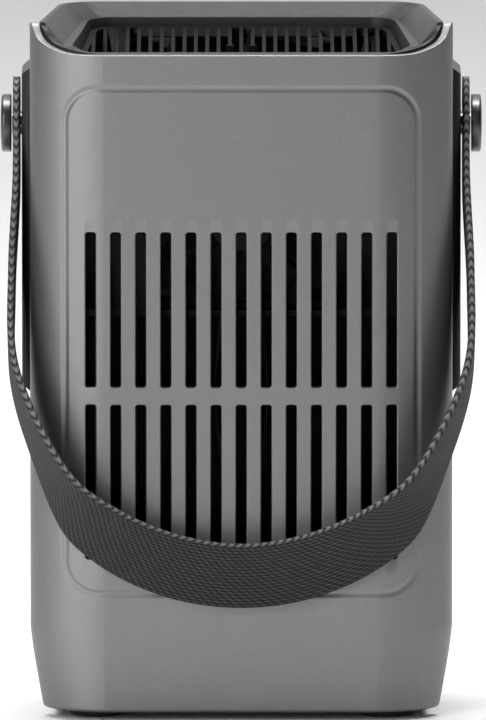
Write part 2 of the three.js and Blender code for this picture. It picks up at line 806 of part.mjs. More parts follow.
function makeFrontPanel() {
  const middle = (panelLow + panelHigh) / 2;
  const backY = frontY - panelThickness;
  const face = rectangle(0, middle, panelWidth - 2 * gap, panelHeight - 2 * gap, panelCorner - gap);
  let panel = alongY(face, backY, frontY);
  const windowHole = rectangle(0, windowCentre, windowWidth, windowHeight, 3, 4);
  panel = panel.subtract(alongY(windowHole, backY - 1, frontY + 1));
  buttonNames.forEach((name, index) => {
    panel = panel.subtract(roundY(buttonRadius + gap, backY - 1, frontY + 1, buttonX(index), buttonHeight));
  });
  usbColumns.forEach((x) => {
    [[usbCSize, usbCHeight, 1.5], [usbASize, usbAHeight, 0.8]].forEach(([size, z, corner]) => {
      const hole = rectangle(x, z, size.width + 2 * gap, size.height + 2 * gap, corner, 4);
      panel = panel.subtract(alongY(hole, backY - 1, frontY + 1));
    });
  });
  panel = panel
    .subtract(roundY(socketRadius + gap, backY - 1, frontY + 1, socketX, socketHeight))
    .subtract(inputHole(gap));
  [-1, 1].forEach((side) => {
    const edges = [socketX + side * capLugGap, socketX + side * (capLugGap + capLugWidth)];
    const low = Math.min(...edges);
    const high = Math.max(...edges);
    const lug = block(
      [low, backY, capPinZ - capKnuckle],
      [high, capPinY + capKnuckle, capPinZ + capKnuckle],
    );
    const bore = roundX(capPinRadius + gap / 2, low - 1, high + 1, capPinY, capPinZ, smallSteps);
    panel = panel.add(lug.subtract(bore));
  });
  addPart('front_panel', panel, 'blackPlastic');

  const glass = rectangle(0, windowCentre, windowWidth - 2 * gap, windowHeight - 2 * gap, 2.7, 4);
  addPart('display_window', alongY(glass, frontY - 0.2 - windowThickness, frontY - 0.2), 'windowGlass');
  const boardY = frontY - 7.6;
  const module = block([-windowWidth / 2, boardY, windowCentre - windowHeight / 2],
    [windowWidth / 2, frontY - 0.5 - windowThickness - 1, windowCentre + windowHeight / 2 - 1]);
  addPart('display_module', module, 'blackPlastic');

  buttonNames.forEach((name, index) => {
    const x = buttonX(index);
    const cap = roundY(buttonRadius, backY - 1, frontY + buttonProud, x, buttonHeight);
    const flange = roundY(buttonRadius + buttonFlange, backY - gap - 1.2, backY - gap, x, buttonHeight);
    addPart(name, cap.add(flange), 'darkPlastic');
  });
  const boardTop = backY - gap - 1.2 - buttonTravel - gap;
  const buttonBoard = rectangle(0, buttonHeight, 2 * buttonPitch + 16, 14, 1, 2);
  addPart('button_board', alongY(buttonBoard, boardTop - boardThickness, boardTop), 'boardGreen');
}

function makeUsbPort(name, size, x, z, corner) {
  const backY = frontY - usbDepth;
  const shape = (inset) => rectangle(
    x,
    z,
    size.width - 2 * inset,
    size.height - 2 * inset,
    Math.max(corner - inset, 0.2),
    4,
  );
  const tongueHalf = size.width / 2 - size.wall - 0.9;
  const tongue = block(
    [x - tongueHalf, backY + 0.5, z - size.tongue / 2],
    [x + tongueHalf, frontY - 2, z + size.tongue / 2],
  );
  const port = alongY(shape(0), backY, frontY - 0.2)
    .subtract(alongY(shape(size.wall), backY + 1, frontY + 1))
    .add(tongue);
  addPart(name, port, 'steel');
}

function makeSockets() {
  usbColumns.forEach((x, index) => {
    makeUsbPort(`usb_c_port_${index + 1}`, usbCSize, x, usbCHeight, 1.5);
    makeUsbPort(`usb_a_port_${index + 1}`, usbASize, x, usbAHeight, 0.8);
  });

  const socketBack = frontY - socketDepth;
  const contact = roundY(socketContact, socketBack + 1, socketBack + 5, socketX, socketHeight, smallSteps);
  const socket = roundY(socketRadius, socketBack, frontY - gap, socketX, socketHeight)
    .subtract(roundY(socketBore, socketBack + socketWall, frontY + 1, socketX, socketHeight))
    .add(contact);
  addPart('car_socket', socket, 'darkMetal');

  const jack = inputHole(0)
    .subtract(roundY(2.9, frontY - 10, frontY + 2, inputX, socketHeight, smallSteps))
    .intersect(roundY(20, frontY - 14, frontY - 0.3, inputX, socketHeight, smallSteps))
    .add(roundY(1, frontY - 11, frontY - 1.5, inputX, socketHeight, smallSteps));
  addPart('dc_input_port', jack, 'blackPlastic');

  const pinHalf = capLugGap + capLugWidth;
  addPart('cap_hinge_pin', roundX(
    capPinRadius,
    socketX - pinHalf,
    socketX + pinHalf,
    capPinY,
    capPinZ,
    smallSteps,
  ), 'steel');
  const half = capLugGap - gap;
  const disc = roundY(capRadius, frontY + gap, frontY + gap + capThickness, socketX, socketHeight);
  const arm = block(
    [socketX - half, frontY + gap, socketHeight + capRadius - 3],
    [socketX + half, frontY + gap + 1.6, capPinZ],
  );
  const knuckle = roundX(capKnuckle, socketX - half, socketX + half, capPinY, capPinZ, smallSteps);
  const bore = roundX(capPinRadius + gap / 2, socketX - 9, socketX + 9, capPinY, capPinZ, smallSteps);
  addPart('car_socket_cap', disc.add(arm).add(knuckle).subtract(bore), 'padRubber');
}

const cellWidth = (2 * (coreFrontHalf - cellSideRoom) - (cellCount - 1) * cellGap) / cellCount;
const cellDepth = bodyDepth - coreWall - cellFrontRoom - cellRearRoom;

function cellX(index) {
  return (index - (cellCount - 1) / 2) * (cellWidth + cellGap);
}

const cellMiddleY = frontY - coreWall - cellFrontRoom - cellDepth / 2;
const cellLow = centreZ + trayFloor + gap;
const cellTop = rimHeight - cellTopRoom;

function makeBattery() {
  const packHalf = (cellCount * cellWidth + (cellCount - 1) * cellGap) / 2 + slideGap;
  const depthHalf = cellDepth / 2 + slideGap;
  const holder = (low, high, from, to) => upright(rectangle(
    0,
    cellMiddleY,
    2 * packHalf + 3,
    2 * depthHalf + 3,
    2,
    3,
  ), low, high).subtract(upright(rectangle(0, cellMiddleY, 2 * packHalf, 2 * depthHalf), from, to));
  const floor = centreZ + trayFloor;
  addPart('cell_tray', holder(centreZ, floor + trayRim, floor, floor + trayRim + 1), 'blackPlastic');
  let clamp = holder(cellTop - trayRim, cellTop + gap + trayFloor, cellTop - trayRim - 1, cellTop + gap);
  for (let index = 0; index < cellCount; index += 1) {
    const x = cellX(index);
    const body = upright(rectangle(x, cellMiddleY, cellWidth, cellDepth, 2, 3), cellLow, cellTop);
    [-1, 1].forEach((side) => {
      const y = cellMiddleY + side * cellDepth * 0.3;
      clamp = clamp.subtract(roundZ(5.4, cellTop - 1, cellTop + 9, x, y, smallSteps));
    });
    const poles = [-1, 1].map((side) => roundZ(
      4.5,
      cellTop - 1,
      cellTop + gap + trayFloor,
      x,
      cellMiddleY + side * cellDepth * 0.3,
      smallSteps,
    ));
    addPart(`battery_cell_${index + 1}`, body.add(poles[0]).add(poles[1]), 'cellWrap');
  }
  addPart('cell_clamp', clamp, 'blackPlastic');
  const barZ = cellTop + 2 * gap + trayFloor;
  for (let index = 0; index < cellCount - 1; index += 1) {
    const side = index % 2 === 0 ? 1 : -1;
    const y = cellMiddleY + side * cellDepth * 0.3;
    const bar = rectangle((cellX(index) + cellX(index + 1)) / 2, y, cellWidth + 10, 10, 2, 3);
    addPart(`bus_bar_${index + 1}`, upright(bar, barZ, barZ + 1), 'copper');
  }
  const boardZ = barZ + 1 + 1.2;
  const boardPlan = rectangle(-20, cellMiddleY, 66, cellDepth - 6, 2, 3);
  addPart('battery_board', upright(boardPlan, boardZ, boardZ + boardThickness), 'boardGreen');
}

const powerBoardY = frontY - 48;

function makeElectronics() {
  const boardLow = cellTop + 11;
  const boardHigh = capSeamZ - collarSkirt - 4;
  const plate = rectangle(0, (boardLow + boardHigh) / 2, 104, boardHigh - boardLow, 2, 3);
  let board = alongY(plate, powerBoardY, powerBoardY + boardThickness);
  [-1, 1].forEach((side) => {
    [boardLow + 5, boardHigh - 5].forEach((z) => {
      board = board.subtract(roundY(1.7, powerBoardY - 1, powerBoardY + 3, side * 47, z, 12));
    });
  });
  addPart('power_board', board, 'boardGreen');

  const faceY = powerBoardY + boardThickness + gap;
  const sinkLow = boardHigh - 36;
  const sinkHalf = 22;
  let sink = block([-sinkHalf, faceY, sinkLow], [sinkHalf, faceY + 2.5, boardHigh - 6]);
  const fins = 9;
  for (let fin = 0; fin < fins; fin += 1) {
    const x = -sinkHalf + 0.7 + (fin * (2 * sinkHalf - 1.4)) / (fins - 1);
    sink = sink.add(block([x - 0.7, faceY + 1, sinkLow], [x + 0.7, faceY + 16, boardHigh - 6]));
  }
  addPart('heat_sink', sink, 'aluminium');

  [['inductor_1', -38], ['inductor_2', -16]].forEach(([name, x]) => {
    const ring = roundY(9, faceY, faceY + 9, x, boardLow + 12, 24)
      .subtract(roundY(4, faceY - 1, faceY + 10, x, boardLow + 12, 16));
    addPart(name, ring, 'copper');
  });
  addPart('capacitor', roundY(6, faceY, faceY + 20, 45, boardHigh - 12, 24), 'blackPlastic');
}

function makeFan() {
  const backY = rearY + shellWall + 4;
  const endY = backY + fanThickness;
  const inner = fanSize / 2 - 2;
  const hub = 11;
  let frame = alongY(rectangle(0, fanHeight, fanSize, fanSize, 4, 4), backY, endY)
    .subtract(roundY(inner, backY - 1, endY + 1, 0, fanHeight));
  frame = frame.add(roundY(hub, endY - 1.4, endY, 0, fanHeight, 24));
  for (let strut = 0; strut < 4; strut += 1) {
    const angle = 45 + strut * 90;
    const arm = block([0, endY - 1.4, -1.5], [inner + 1.5, endY, 1.5]).rotate([0, angle, 0]);
    frame = frame.add(arm.translate([0, 0, fanHeight]));
    const [dx, dz] = [strut < 2 ? 1 : -1, strut % 2 ? 1 : -1];
    const corner = fanSize / 2 - 5;
    const x = dx * corner;
    frame = frame.subtract(roundY(2.2, backY - 1, endY + 1, x, fanHeight + dz * corner, 12));
  }
  addPart('fan_frame', frame, 'blackPlastic');

  let rotor = roundY(hub, backY + 0.6, endY - 1.4 - slideGap, 0, fanHeight, 24);
  for (let blade = 0; blade < bladeCount; blade += 1) {
    const vane = block([hub - 2, -0.5, -4.6], [inner - 0.8, 0.5, 4.6])
      .rotate([48, 0, 0])
      .translate([0, (backY + 0.6 + endY - 1.4 - slideGap) / 2, 0])
      .rotate([0, (blade * 360) / bladeCount, 0]);
    rotor = rotor.add(vane.translate([0, 0, fanHeight]));
  }
  addPart('fan_rotor', rotor, 'darkPlastic');
}

// A frame behind the lower vents whose two bent ribs spread the air, seen between the slots.
// A frame that guides the air from the slots, with two bent ribs across it.
function makeBaffle() {
  const frontLimit = cellMiddleY - cellDepth / 2 - slideGap - 1.5 - gap;
  const backY = rearY + shellWall + baffleSetBack;
  const low = slotRows[0][0] - baffleMargin;
  const high = fanHeight - fanSize / 2 - gap;
  const width = 2 * (slotX(slotColumns - 1) + slotWidth / 2 + baffleMargin / 2);
  const outer = rectangle(0, (low + high) / 2, width, high - low, 4, 4);
  const inner = rectangle(0, (low + high) / 2, width - 4, high - low - 4, 3, 4);
  let frame = alongY(outer, backY, frontLimit)
    .subtract(alongY(inner, backY - 1, frontLimit - 1.2))
    .intersect(withinShell(shellWall + baffleSetBack));
  const middle = (slotRows[0][1] + slotRows[1][0]) / 2;
  const ribLow = Math.max(middle - baffleRibReach, low + 1);
  [-1, 1].forEach((side) => {
    const rib = new THREE.Shape([
      new THREE.Vector2(side * 4.2, ribLow),
      new THREE.Vector2(side * 9.6, middle),
      new THREE.Vector2(side * 7.1, high - 1),
      new THREE.Vector2(side * 6.3, high - 1),
      new THREE.Vector2(side * 8.8, middle),
      new THREE.Vector2(side * 3.4, ribLow),
    ]);
    frame = frame.add(alongY(rib, backY, frontLimit - 0.6));
  });
  addPart('air_baffle', frame, 'blackPlastic');
}

// Where the strap's middle line passes beside the body: how far out from the pivots' line, its
// share of the way from the rear face to the pivots, and how far below the pivots.
const strapBeside = [
  [1.4, 0.425, 50.4],
  [0.6, 0.085, 79.4],
];
// Where it passes across the rear face: how far in from the pivots' line, how far it stands off
// the face as a share of its own width, and how far below the pivots.
const strapAcross = [
  [7.7, 0.27, 102.4],
  [18.5, 0.43, 121.4],
  [31.1, 0.4, 133],
  [52.2, 0.365, 142.8],
];
const strapMiddleShare = 0.355;
const strapDrop = 146.2;

function strapLine() {
  const lean = THREE.MathUtils.degToRad(strapLean);
  const fromPivot = (distance) => new THREE.Vector3(
    strapX,
    distance * Math.sin(lean),
    strapPivotHeight + distance * Math.cos(lean),
  );
  const right = [fromPivot(strapEnd), fromPivot(0), fromPivot(-22)];
  strapBeside.forEach(([out, share, below]) => {
    const y = rearY + (share * bodyDepth) / 2;
    right.push(new THREE.Vector3(strapX + out, y, strapPivotHeight - below));
  });
  strapAcross.forEach(([inward, share, below]) => {
    const y = rearY - share * strapWidth;
    right.push(new THREE.Vector3(strapX - inward, y, strapPivotHeight - below));
  });
  const left = right.map((point) => new THREE.Vector3(-point.x, point.y, point.z));
  const middleY = rearY - strapMiddleShare * strapWidth;
  const middle = new THREE.Vector3(0, middleY, strapPivotHeight - strapDrop);
  return new THREE.CatmullRomCurve3([...left, middle, ...right.reverse()]);
}

// Webbing bent along its line: flat to the sides at the pivots, leaning to the rear face below.
function makeStrap() {
  const line = strapLine();
  const length = line.getLength();
  const steps = 80;
  const geometry = new THREE.BoxGeometry(strapWidth, strapThickness, 1, 1, 1, steps);
  const position = geometry.attributes.position;
  const lean = THREE.MathUtils.degToRad(strapLean);
  const sideWay = new THREE.Vector3(0, Math.cos(lean), -Math.sin(lean));
  const middleWay = new THREE.Vector3(0, 0.45, -0.893);
  const radius = strapWidth / 2;
  for (let index = 0; index < position.count; index += 1) {
    const across = position.getX(index) / radius;
    const out = position.getY(index);
    const raw = Math.abs(position.getZ(index)) * 2;
    const endShare = radius / length;
    const along = raw > 0.75 ? 0.75 + 0.25 * Math.sin(((raw - 0.75) / 0.25) * (Math.PI / 2)) : raw;
    const share = 0.5 + Math.sign(position.getZ(index)) * along * 0.5;
    const fromEnd = Math.min(share, 1 - share) / endShare;
    const reach = fromEnd < 1 ? Math.sqrt(Math.max(0.004, 1 - (1 - fromEnd) ** 2)) : 1;
    const point = line.getPointAt(share);
    const tangent = line.getTangentAt(share);
    const blend = THREE.MathUtils.smoothstep(along, 0.05, 0.7);
    const way = middleWay.clone().lerp(sideWay, blend);
    way.addScaledVector(tangent, -way.dot(tangent)).normalize();
    const normal = new THREE.Vector3().crossVectors(tangent, way).normalize();
    point.addScaledVector(way, across * radius * reach).addScaledVector(normal, out);
    position.setXYZ(index, point.x, point.y, point.z);
  }
  let strap = solidOf(geometry);
  if (strap.volume() < 0) {
    throw new Error('The strap is inside out');
  }
  const hole = roundX(eyeletRadius + gap, -halfWidth - 20, halfWidth + 20, pivotY, strapPivotHeight);
  strap = strap.subtract(hole);
  addPart('carry_strap', strap, 'webbing');
}

makeRearShell();
makeFrontShell();
makeTopCollar();
makeTopGrille();
makeGrilleLatch();
makeBaseAndFeet();
makeRails();
makePivots();
makeStrap();
makeFrontPanel();
makeSockets();
makeBattery();
makeElectronics();
makeFan();
makeBaffle();

const box = new THREE.Box3().setFromObject(powerStation);
powerStation.position.y = -(box.min.y + box.max.y) / 2;

export default powerStation;
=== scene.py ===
import json
import math
import bmesh
import bpy
from mathutils import Matrix, Vector


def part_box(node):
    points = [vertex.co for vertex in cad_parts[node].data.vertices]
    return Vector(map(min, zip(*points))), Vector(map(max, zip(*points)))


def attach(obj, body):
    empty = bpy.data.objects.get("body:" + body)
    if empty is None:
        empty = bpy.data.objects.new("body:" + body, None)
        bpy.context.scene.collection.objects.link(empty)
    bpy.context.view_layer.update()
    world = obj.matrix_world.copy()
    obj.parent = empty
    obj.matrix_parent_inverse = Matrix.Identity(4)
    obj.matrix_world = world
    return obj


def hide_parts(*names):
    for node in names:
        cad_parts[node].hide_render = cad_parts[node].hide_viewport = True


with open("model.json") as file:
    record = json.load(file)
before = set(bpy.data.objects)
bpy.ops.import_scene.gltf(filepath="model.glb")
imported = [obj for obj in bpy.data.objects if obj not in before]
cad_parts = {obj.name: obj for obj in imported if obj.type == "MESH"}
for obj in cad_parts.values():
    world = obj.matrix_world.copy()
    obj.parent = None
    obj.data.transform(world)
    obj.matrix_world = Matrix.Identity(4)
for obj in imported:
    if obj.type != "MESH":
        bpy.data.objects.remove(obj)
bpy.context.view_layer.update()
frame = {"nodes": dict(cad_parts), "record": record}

mm = 0.001
scene = bpy.context.scene
record = frame["record"]
slotOf = {part["node"]: part["material_slot"] for part in record["subparts"]}
bodyOf = {node: body for body, nodes in record["behaviour"]["bodies"].items() for node in nodes}


# a socket that can be added, multiplied and so on in plain expressions
class Wire:
    def __init__(self, paint, socket):
        self.paint = paint
        self.socket = socket

    def maths(self, operation, other=None, swapped=False):
        values = [self] if other is None else [self, other]
        if swapped:
            values.reverse()
        return self.paint.node("ShaderNodeMath", {"operation": operation}, dict(enumerate(values)))

    def __add__(self, other):
        return self.maths("ADD", other)

    __radd__ = __add__

    def __sub__(self, other):
        return self.maths("SUBTRACT", other)

    def __rsub__(self, other):
        return self.maths("SUBTRACT", other, swapped=True)

    def __mul__(self, other):
        return self.maths("MULTIPLY", other)

    __rmul__ = __mul__

    def __truediv__(self, other):
        return self.maths("DIVIDE", other)

    def __pow__(self, other):
        return self.maths("POWER", other)

    def floor(self):
        return self.maths("FLOOR")

    def fract(self):
        return self.maths("FRACT")

    def sine(self):
        return self.maths("SINE")

    def size(self):
        return self.maths("ABSOLUTE")

    def above(self, other):
        return self.maths("GREATER_THAN", other)


# the nodes of one material or world: its shader, and one way to add any other node
class Paint:
    def __init__(self, owner, shaderName, **constants):
        owner.use_nodes = True
        self.owner = owner
        self.tree = owner.node_tree
        self.shader = self.tree.nodes[shaderName]
        for socketName, value in constants.items():
            self.shader.inputs[socketName.replace("_", " ")].default_value = value

    def node(self, kind, settings=None, inputs=None, output=0):
        made = self.tree.nodes.new(kind)
        for key, value in (settings or {}).items():
            setattr(made, key, value)
        for key, value in (inputs or {}).items():
            if isinstance(value, Wire):
                self.tree.links.new(value.socket, made.inputs[key])
            else:
                made.inputs[key].default_value = value
        return Wire(self, made.outputs[output])

    def link(self, socketName, wire):
        self.tree.links.new(wire.socket, self.shader.inputs[socketName])

    def axis(self, vector, letter):
        return self.node("ShaderNodeSeparateXYZ", None, {0: vector}, output=letter)

    def noise(self, scale, detail=2.0, roughness=0.5):
        place = self.node("ShaderNodeTexCoord", output="Object")
        return self.node("ShaderNodeTexNoise", None, {
            "Vector": place, "Scale": scale, "Detail": detail, "Roughness": roughness})

    def mix(self, factor, first, second):
        return self.node("ShaderNodeMix", {"data_type": "RGBA"}, {0: factor, 6: first, 7: second}, output=2)

    def bump(self, height, distance):
        self.link("Normal", self.node("ShaderNodeBump", None, {
            "Height": height, "Distance": distance, "Strength": 1.0}))


def surface(name, **constants):
    return Paint(bpy.data.materials.new(name), "Principled BSDF", **constants)


def tone(value, tint=(1.0, 1.0, 1.0)):
    return (value * tint[0], value * tint[1], value * tint[2], 1.0)


# moulded plastic: eroded grain, faint clouding and a roughness that wanders
moulding = {
    "shade": 0.02, "spread": 0.12, "rough": 0.42, "roughSpread": 0.15, "metallic": 0.0, "specular": 0.5,
    "grain": 2000.0, "clouds": 80.0, "depth": 0.00008, "tint": (1.0, 1.0, 1.0),
    "cloudShare": 0.6, "grainShare": 0.4, "coarser": 0.37, "coarseShare": 0.6, "grainRoughness": 0.6,
}
shellLook = dict(moulding, shade=0.19, spread=0.035, rough=0.48, roughSpread=0.16, metallic=0.8,
                 grain=2600.0, clouds=60.0, depth=0.00005, tint=(1.0, 1.0, 1.005))
coreLook = dict(moulding, roughSpread=0.2, specular=0.16)
blackLook = dict(moulding, shade=0.006, spread=0.15, rough=0.6, specular=0.04,
                 grain=2400.0, clouds=90.0, depth=0.00004)
padLook = dict(moulding, shade=0.035, rough=0.72, grain=1800.0, clouds=120.0, depth=0.00006)
footLook = dict(moulding, shade=0.01, spread=0.2, rough=0.8, grain=1500.0, clouds=120.0)


def mouldedPlastic(name, look):
    paint = surface(name, Specular_IOR_Level=look["specular"], Metallic=look["metallic"])
    clouds = paint.noise(look["clouds"], 3.0)
    grain = paint.noise(look["grain"], 3.0, look["grainRoughness"])
    coarse = paint.noise(look["grain"] * look["coarser"])
    amount = clouds * look["cloudShare"] + grain * look["grainShare"]
    darker = tone(look["shade"] * (1 - look["spread"]), look["tint"])
    lighter = tone(look["shade"] * (1 + look["spread"]), look["tint"])
    paint.link("Base Color", paint.mix(amount, darker, lighter))
    paint.link("Roughness", look["rough"] + (grain - 0.5) * look["roughSpread"])
    paint.bump(grain + coarse * look["coarseShare"], look["depth"])
    return paint.owner


# bare metal: fine grain and faint clouds
satin = {"shade": 0.3, "spread": 0.08, "rough": 0.28, "grainRough": 0.12, "cloudRough": 0.06,
         "grain": 2600.0, "clouds": 200.0, "depth": 0.00001}
knobLook = dict(satin, shade=0.085, rough=0.34, grain=3200.0, clouds=140.0, depth=0.00002)
# painted shade: copper and aluminium get dark grey colours far below their own, to stand for the shade inside
# the case
copperShadedLook = dict(satin, shade=0.12)
aluminiumShadedLook = dict(satin, shade=0.08, rough=0.4, grain=1800.0, clouds=120.0, depth=0.00002)


def satinMetal(name, look):
    paint = surface(name, Metallic=1.0)
    clouds = paint.noise(look["clouds"], 3.0)
    grain = paint.noise(look["grain"])
    shade, spread = look["shade"], look["spread"]
    paint.link("Base Color", paint.mix(clouds, tone(shade * (1 - spread)), tone(shade * (1 + spread))))
    wander = (grain - 0.5) * look["grainRough"] + (clouds - 0.5) * look["cloudRough"]
    paint.link("Roughness", look["rough"] + wander)
    paint.bump(grain, look["depth"])
    return paint.owner


smoked = {"coatRough": 0.03, "bend": 1.5, "haze": 90.0, "darkest": 0.006, "lightest": 0.009,
          "rough": 0.07, "roughSpread": 0.05}


def smokedWindow():
    paint = surface("smokedWindow", Coat_Weight=1.0, Coat_Roughness=smoked["coatRough"], IOR=smoked["bend"])
    haze = paint.noise(smoked["haze"])
    paint.link("Base Color", paint.mix(haze, tone(smoked["darkest"]), tone(smoked["lightest"])))
    paint.link("Roughness", smoked["rough"] + haze * smoked["roughSpread"])
    return paint.owner


# a coloured film or lacquer
film = {"grain": 900.0, "dimmest": 0.82, "roughSpread": 0.1, "depth": 0.00003}


def tintedSurface(name, colour, rough):
    paint = surface(name)
    grain = paint.noise(film["grain"], 3.0)
    paint.link("Base Color", paint.mix(grain, tone(film["dimmest"], colour), tone(1.0, colour)))
    paint.link("Roughness", rough + (grain - 0.5) * film["roughSpread"])
    paint.bump(grain, film["depth"])
    return paint.owner


# webbing: twill ribs along the strap, each a row of slanted yarns, and a braided edge; the colour follows the
# weave's height, with painted highlights on yarn tops and braid ridges and painted shade in the hollows
weave = {
    "rib": 1.3, "ribFlatness": 0.55, "yarn": 2.5, "yarnFlatness": 0.45, "slant": 0.75,
    "braid": 3.2, "braidFlatness": 0.6, "chevron": 1.1, "braidFall": 0.8, "edgeStart": 30.0, "edgeWidth": 2.4,
    "shade": 0.014, "hollowShade": 0.15, "yarnHighlight": 0.05, "plainYarn": 0.75, "oddYarn": 0.35, "braidHighlight": 0.12,
    "contrast": 1.6, "fuzz": 2600.0, "fuzzShade": 0.15, "fuzzHeight": 0.18, "depth": 0.0004,
    "rough": 0.62, "roughSpread": 0.12, "specular": 0.25,
}


def webbingCloth():
    paint = surface("webbingCloth", Specular_IOR_Level=weave["specular"])
    uv = paint.node("ShaderNodeUVMap", {"uv_map": "strapUV"})
    across = paint.axis(uv, "X") * (1 / mm)
    along = paint.axis(uv, "Y") * (1 / mm)
    rib = across / weave["rib"]
    yarn = along / weave["yarn"] + rib.floor() * 0.5 + rib.fract() * weave["slant"]
    ribHeight = (rib.fract() * math.pi).sine() ** weave["ribFlatness"]
    yarnHeight = (yarn.fract() * math.pi).sine() ** weave["yarnFlatness"]
    edgePlace = ((across - weave["edgeStart"]) / weave["edgeWidth"] - 0.5).size()
    chevron = (along / weave["braid"] + edgePlace * weave["chevron"]).fract()
    braid = (chevron * math.pi).sine() ** weave["braidFlatness"] * (1 - edgePlace * weave["braidFall"])
    onEdge = across.above(weave["edgeStart"] - 2.0)
    height = ribHeight * yarnHeight * (1 - onEdge) + braid * onEdge
    number = paint.node("ShaderNodeCombineXYZ", None, {0: rib.floor(), 1: yarn.floor(), 2: 0.0})
    odd = paint.node("ShaderNodeTexWhiteNoise", {"noise_dimensions": "3D"}, {"Vector": number})
    fuzz = paint.noise(weave["fuzz"], 3.0)
    # painted highlight: yarn tops and raised braid are made lighter in colour, with a random strength per
    # yarn
    yarnLit = height * weave["yarnHighlight"] * (weave["plainYarn"] + odd * weave["oddYarn"])
    lit = weave["shade"] + yarnLit + braid * onEdge * weave["braidHighlight"]
    colour = paint.node("ShaderNodeCombineColor", None, {0: lit, 1: lit, 2: lit})
    # painted shade: the hollows between yarns blend towards a much darker colour
    share = height ** weave["contrast"] * (1 - weave["fuzzShade"]) + fuzz * weave["fuzzShade"]
    paint.link("Base Color", paint.mix(share, tone(weave["shade"] * weave["hollowShade"]), colour))
    paint.link("Roughness", weave["rough"] + (odd + fuzz) * weave["roughSpread"])
    paint.bump(height + fuzz * weave["fuzzHeight"], weave["depth"])
    return paint.owner


materials = {
    "shell_grey": mouldedPlastic("shellPlastic", shellLook),
    "dark_plastic": mouldedPlastic("corePlastic", coreLook),
    "black_plastic": mouldedPlastic("blackPlastic", blackLook),
    "pad_rubber": mouldedPlastic("padRubber", padLook),
    "foot_rubber": mouldedPlastic("footRubber", footLook),
    "webbing": webbingCloth(),
    "dark_metal": satinMetal("darkMetal", knobLook),
    "steel": satinMetal("satinSteel", satin),
    "window_glass": smokedWindow(),
    # painted shade: the board's green and the cells' blue wrap are made far darker than their own colours, to
    # stand for the shade inside the closed case
    "board_green": tintedSurface("boardMask", (0.004, 0.016, 0.009), 0.55),
    "cell_wrap": tintedSurface("cellFilm", (0.006, 0.014, 0.03), 0.5),
    # painted shade: these two inner metals are darkened to stand for the shade inside the case
    "copper": satinMetal("bareCopper", copperShadedLook),
    "aluminium": satinMetal("extrudedAluminium", aluminiumShadedLook),
}
print("materials made")


def dress(piece, slotName):
    piece.data.materials.clear()
    piece.data.materials.append(materials[slotName])


# every CAD node first takes its own slot's material
for nodeName, nodeObject in frame["nodes"].items():
    dress(nodeObject, slotOf[nodeName])


def addPiece(name, mesh, body, slotName, stoodFor=()):
    for face in mesh.polygons:
        face.use_smooth = True
    piece = bpy.data.objects.new(name, mesh)
    scene.collection.objects.link(piece)
    dress(piece, slotName)
    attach(piece, body)
    if stoodFor:
        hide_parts(*stoodFor)
    return piece


def meshOf(bm, name):
    mesh = bpy.data.meshes.new(name)
    bm.to_mesh(mesh)
    bm.free()
    return mesh


def evenNormals(piece, weight, keepSharp=False):
    weighted = piece.modifiers.new("evenNormals", "WEIGHTED_NORMAL")
    weighted.weight = weight
    weighted.keep_sharp = keepSharp


def roundEdges(piece, width):
    bevel = piece.modifiers.new("roundedEdges", "BEVEL")
    bevel.width = width
    bevel.segments = refining["segments"]
    bevel.limit_method = "ANGLE"
    bevel.angle_limit = math.radians(refining["sharpest"])
    bevel.miter_outer = "MITER_ARC"
    evenNormals(piece, 60, keepSharp=True)


# a CAD shape with its flat faces made whole and its edges rounded as moulded or turned parts are
def refine(node, edge):
    bm = bmesh.new()
    bm.from_mesh(frame["nodes"][node].data)
    bmesh.ops.remove_doubles(bm, verts=bm.verts, dist=refining["joinWithin"] * mm)
    flat = math.radians(refining["flatWithin"])
    bmesh.ops.dissolve_limit(bm, angle_limit=flat, verts=bm.verts, edges=bm.edges)
    piece = addPiece(node + "_fine", meshOf(bm, node + "_fine"), bodyOf[node], slotOf[node], (node,))
    roundEdges(piece, edge * mm)


refining = {"segments": 3, "sharpest": 32, "joinWithin": 0.01, "flatWithin": 0.4}
refinedEdges = {
    "front_shell": 0.7, "top_collar": 0.55, "top_grille": 0.28, "grille_latch": 0.25,
    "base_plate": 0.4, "side_rail_left": 0.7, "side_rail_right": 0.7,
    "grip_pad_left": 0.3, "grip_pad_right": 0.3, "strap_washer_left": 0.12, "strap_washer_right": 0.12,
    "foot_rear_left": 0.5, "foot_rear_right": 0.5, "foot_front_left": 0.5, "foot_front_right": 0.5,
    "front_panel": 0.35, "display_window": 0.25, "display_button": 0.45, "power_button": 0.45,
    "output_button": 0.45, "usb_c_port_1": 0.1, "usb_c_port_2": 0.1, "usb_a_port_1": 0.12,
    "usb_a_port_2": 0.12, "car_socket": 0.3, "car_socket_cap": 0.5, "dc_input_port": 0.2,
    "cap_hinge_pin": 0.2, "base_screw_1": 0.2, "base_screw_2": 0.2, "air_baffle": 0.3, "fan_frame": 0.3,
    "fan_rotor": 0.3,
}
for nodeName, edgeSize in refinedEdges.items():
    refine(nodeName, edgeSize)
print("moulded and turned parts refined")


